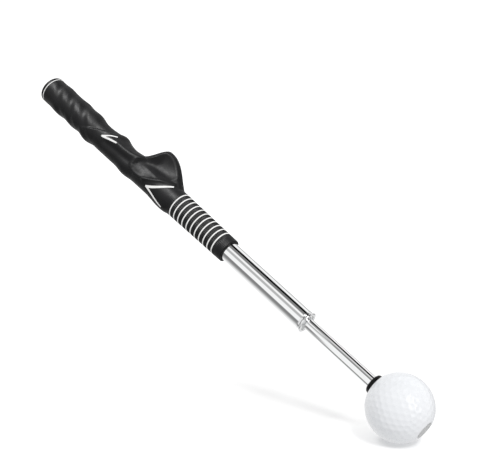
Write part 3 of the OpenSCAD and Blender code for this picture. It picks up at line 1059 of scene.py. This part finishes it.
# ------------ camera, light and floor
AIM = Vector((27.7, -0.9, 232.95)) * MM
CAMERA_DISTANCE = 896.1 * MM
CAMERA_AZIMUTH, CAMERA_ELEVATION, CAMERA_ROLL = -1.95, -24.71, 48.34
LENS = 72.0
FLOOR_TILT = math.radians(9.2)
FLOOR_HALF = 40.0
# Painted light: the floor glows a little, except near the ball, so that faint shadows fade with
# distance
GLOW_STARTS, GLOW_ENDS, GLOW = (13 * MM, 22 * MM), (45 * MM, 80 * MM), 0.16
BEYOND_STARTS, BEYOND_GLOW = (110 * MM, 300 * MM), 0.2


def make_camera():
    """A camera that looks at AIM, rolled so that the stick lies across the frame."""
    a, e = math.radians(CAMERA_AZIMUTH), math.radians(CAMERA_ELEVATION)
    back = Vector((math.sin(a) * math.cos(e), -math.cos(a) * math.cos(e), math.sin(e)))
    level = (-back).to_track_quat("-Z", "Y").to_matrix()
    roll = Matrix.Rotation(-math.radians(CAMERA_ROLL), 3, back)
    data = bpy.data.cameras.new("camera")
    data.lens = LENS
    camera = bpy.data.objects.new("camera", data)
    place = Matrix.Translation(AIM + back * CAMERA_DISTANCE)
    camera.matrix_world = place @ (roll @ level).to_4x4()
    bpy.context.scene.collection.objects.link(camera)
    bpy.context.scene.camera = camera
    return camera


camera = make_camera()
CAMERA_AXES = camera.matrix_world.to_3x3()
RIGHT, UP, BACK = (CAMERA_AXES.col[i].normalized() for i in range(3))
FLOOR_NORMAL = (UP * math.cos(FLOOR_TILT) + BACK * math.sin(FLOOR_TILT)).normalized()
# Where the light comes from: the softbox seen in glossy surfaces, the sun, the grip's own lamp
# and the brighter side of the gradient that matt surfaces see
KEY_WAY = (RIGHT * 0.56 + UP * 0.30 + BACK * 0.6).normalized()
SUN_WAY = (RIGHT * 0.25 + UP * 0.68 + BACK * 0.69).normalized()
GRIP_WAY = (RIGHT * -0.3 + UP * 0.84 + BACK * 0.42).normalized()
SOFT_WAY = (RIGHT * 0.75 + UP * 0.5 + BACK * 0.25).normalized()


def make_floor():
    """A pale floor that touches the ball and rides with it, and is clear from behind."""
    material = bpy.data.materials.new("floor")
    material.use_nodes = True
    nodes = Nodes(material.node_tree)
    white = nodes.add("ShaderNodeBsdfDiffuse")
    grain = nodes.noise(nodes.object_coords(), 30.0, 2.0)
    pale = nodes.mix_colour(grain, (0.94, 0.94, 0.94, 1), (0.96, 0.96, 0.96, 1))
    nodes.feed(white.inputs["Color"], pale)
    where = nodes.add("ShaderNodeVectorMath", operation="LENGTH")
    nodes.link(nodes.object_coords(), where.inputs[0])
    reach = where.outputs["Value"]
    starts, ends = nodes.smooth(reach, *GLOW_STARTS), nodes.smooth(reach, *GLOW_ENDS, 1.0, 0.0)
    around = nodes.times(nodes.times(starts, ends), GLOW)
    beyond = nodes.smooth(reach, *BEYOND_STARTS, 0.0, BEYOND_GLOW)
    # Painted light: this glow lifts the floor's shadows in a ring round the ball and far from it
    glow = nodes.add("ShaderNodeEmission")
    nodes.feed(glow.inputs["Strength"], nodes.plus(around, beyond))
    lit = nodes.add("ShaderNodeAddShader")
    nodes.link(white.outputs[0], lit.inputs[0])
    nodes.link(glow.outputs[0], lit.inputs[1])
    clear = nodes.add("ShaderNodeBsdfTransparent")
    behind = nodes.add("ShaderNodeNewGeometry").outputs["Backfacing"]
    pick = nodes.add("ShaderNodeMixShader")
    nodes.link(behind, pick.inputs["Fac"])
    nodes.link(lit.outputs[0], pick.inputs[1])
    nodes.link(clear.outputs[0], pick.inputs[2])
    out = nodes.add("ShaderNodeOutputMaterial")
    nodes.link(pick.outputs[0], out.inputs["Surface"])
    corners = [(x * FLOOR_HALF, y * FLOOR_HALF, 0) for x, y in ((-1, -1), (1, -1), (1, 1), (-1, 1))]
    floor = new_object("floor", corners, [(0, 1, 2, 3)])
    floor.data.materials.append(material)
    touch = Vector((0, 0, BALL_Z)) - FLOOR_NORMAL * (BALL_R + CLEAR)
    lean = FLOOR_NORMAL.to_track_quat("Z", "Y").to_matrix().to_4x4()
    floor.matrix_world = Matrix.Translation(touch) @ lean
    floor.visible_glossy = False
    floor.visible_diffuse = False
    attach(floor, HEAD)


# Dark strips of the studio that the chrome mirrors, by azimuth round the stick from the
# camera's side: centre, half width, soft edge on each side, brightness. One set is high in the
# studio, where the wide tube mirrors it, and one is lower, where the rod does.
HIGH_STRIPS = [
    (74.0, 11.0, 3.0, 3.0, 0.0),
    (51.0, 13.0, 6.0, 3.0, 0.24),
    (2.0, 8.0, 9.0, 7.0, 0.50),
    (-62.0, 8.0, 66.0, 3.0, 0.24),
    (132.0, 8.0, 8.0, 8.0, 0.55),
]
LOW_STRIPS = [
    (74.0, 15.0, 4.0, 3.0, 0.0),
    (13.0, 5.0, 6.0, 42.0, 0.26),
    (-98.0, 10.0, 9.0, 9.0, 0.22),
    (150.0, 12.0, 12.0, 12.0, 0.5),
]
STUDIO_TURN = math.radians(88.4)
# Heights over which the low strips give way to the high ones, and over which the mirrored
# light rises to full
STRIPS_MEET = (0.285, 0.315)
HORIZON, BELOW_HORIZON = (-0.12, 0.2), 0.78
# The softbox, by the cosine between the ray and its direction, and the gradient's ends
KEY_EDGE, KEY = (0.80, 0.97), 3.0
SOFT_DARK, SOFT_LIGHT = 0.74, 0.99
BACKGROUND = 1.05
SUN_ENERGY, SUN_WIDTH = 0.8, 14
GRIP_ENERGY, GRIP_WIDTH = 6.0, 24


def make_world():
    """A white studio. Glossy surfaces mirror its dark strips and softbox, matt ones see a soft
    gradient, and the camera sees plain white."""
    world = bpy.data.worlds.new("studio")
    world.use_nodes = True
    # The studio differs by kind of ray, so it can't be sampled as a light
    world.cycles.sampling_method = "NONE"
    bpy.context.scene.world = world
    nodes = Nodes(world.node_tree)
    direction = nodes.add("ShaderNodeTexCoord").outputs["Generated"]

    turned = nodes.add("ShaderNodeVectorRotate", rotation_type="Z_AXIS")
    nodes.link(direction, turned.inputs["Vector"])
    turned.inputs["Angle"].default_value = STUDIO_TURN
    split = nodes.add("ShaderNodeSeparateXYZ")
    nodes.link(turned.outputs[0], split.inputs[0])
    azimuth = nodes.math("ARCTAN2", split.outputs["Y"], split.outputs["X"])
    azimuth = nodes.times(azimuth, 180 / math.pi)

    def strips(listed):
        """Brightness of the white studio with the listed dark strips in it."""
        light = 1.0
        for centre, half, soft_low, soft_high, level in listed:
            rising = nodes.smooth(azimuth, centre - half - soft_low, centre - half)
            falling = nodes.smooth(azimuth, centre + half, centre + half + soft_high, 1.0, 0.0)
            inside = nodes.times(rising, falling)
            strip = nodes.math("SUBTRACT", 1.0, nodes.times(inside, 1.0 - level))
            light = nodes.times(light, strip)
        return light

    height = split.outputs["Z"]
    meet = nodes.smooth(height, *STRIPS_MEET)
    light = nodes.mix_value(meet, strips(LOW_STRIPS), strips(HIGH_STRIPS))

    def facing(towards):
        """Cosine between the ray and a direction."""
        node = nodes.add("ShaderNodeVectorMath", operation="DOT_PRODUCT")
        nodes.link(direction, node.inputs[0])
        node.inputs[1].default_value = towards
        return node.outputs["Value"]

    key = nodes.smooth(facing(KEY_WAY), *KEY_EDGE, 0.0, KEY)
    lit = nodes.times(light, nodes.smooth(height, *HORIZON, BELOW_HORIZON, 1.0))
    mirrored = nodes.plus(lit, nodes.times(key, light))
    soft = nodes.smooth(facing(SOFT_WAY), -1.0, 1.0, SOFT_DARK, SOFT_LIGHT)

    path = nodes.add("ShaderNodeLightPath")
    surfaces_see = nodes.mix_value(path.outputs["Is Glossy Ray"], soft, mirrored)
    seen = nodes.mix_value(path.outputs["Is Camera Ray"], surfaces_see, BACKGROUND)
    shade = nodes.add("ShaderNodeBackground")
    shade.inputs["Color"].default_value = (1.0, 1.0, 1.0, 1)
    nodes.link(seen, shade.inputs["Strength"])
    out = nodes.add("ShaderNodeOutputWorld")
    nodes.link(shade.outputs[0], out.inputs["Surface"])


def make_sun(name, way, energy, width):
    """A light from a direction, as wide as the given angle in degrees."""
    data = bpy.data.lights.new(name, "SUN")
    data.energy = energy
    data.angle = math.radians(width)
    sun = bpy.data.objects.new(name, data)
    sun.rotation_mode = "QUATERNION"
    sun.rotation_quaternion = way.to_track_quat("Z", "Y")
    bpy.context.scene.collection.objects.link(sun)
    return sun


def make_suns():
    """A soft sun for the floor's faint shadow, and a stronger one for the grip alone, because
    black rubber looks flat in a white studio."""
    make_sun("sun", SUN_WAY, SUN_ENERGY, SUN_WIDTH).visible_glossy = False
    grip_light = make_sun("grip_light", GRIP_WAY, GRIP_ENERGY, GRIP_WIDTH)
    lit = bpy.data.collections.new("grip_pieces")
    for obj in bpy.context.scene.objects:
        if obj.name.startswith(("grip_sleeve_", "butt_cap_")):
            lit.objects.link(obj)
    grip_light.light_linking.receiver_collection = lit


# ------------ build
make_floor()
make_world()
make_sleeve()
make_rings()
make_v_mark("v_mark_small_inlaid", SMALL_V, "v_mark_small")
make_v_mark("v_mark_large_inlaid", LARGE_V, "v_mark_large")
make_butt()
make_tubes()
make_ball()
make_neck()
make_disc()
make_suns()
paint_kept_nodes()

bpy.context.scene.view_settings.view_transform = "Standard"
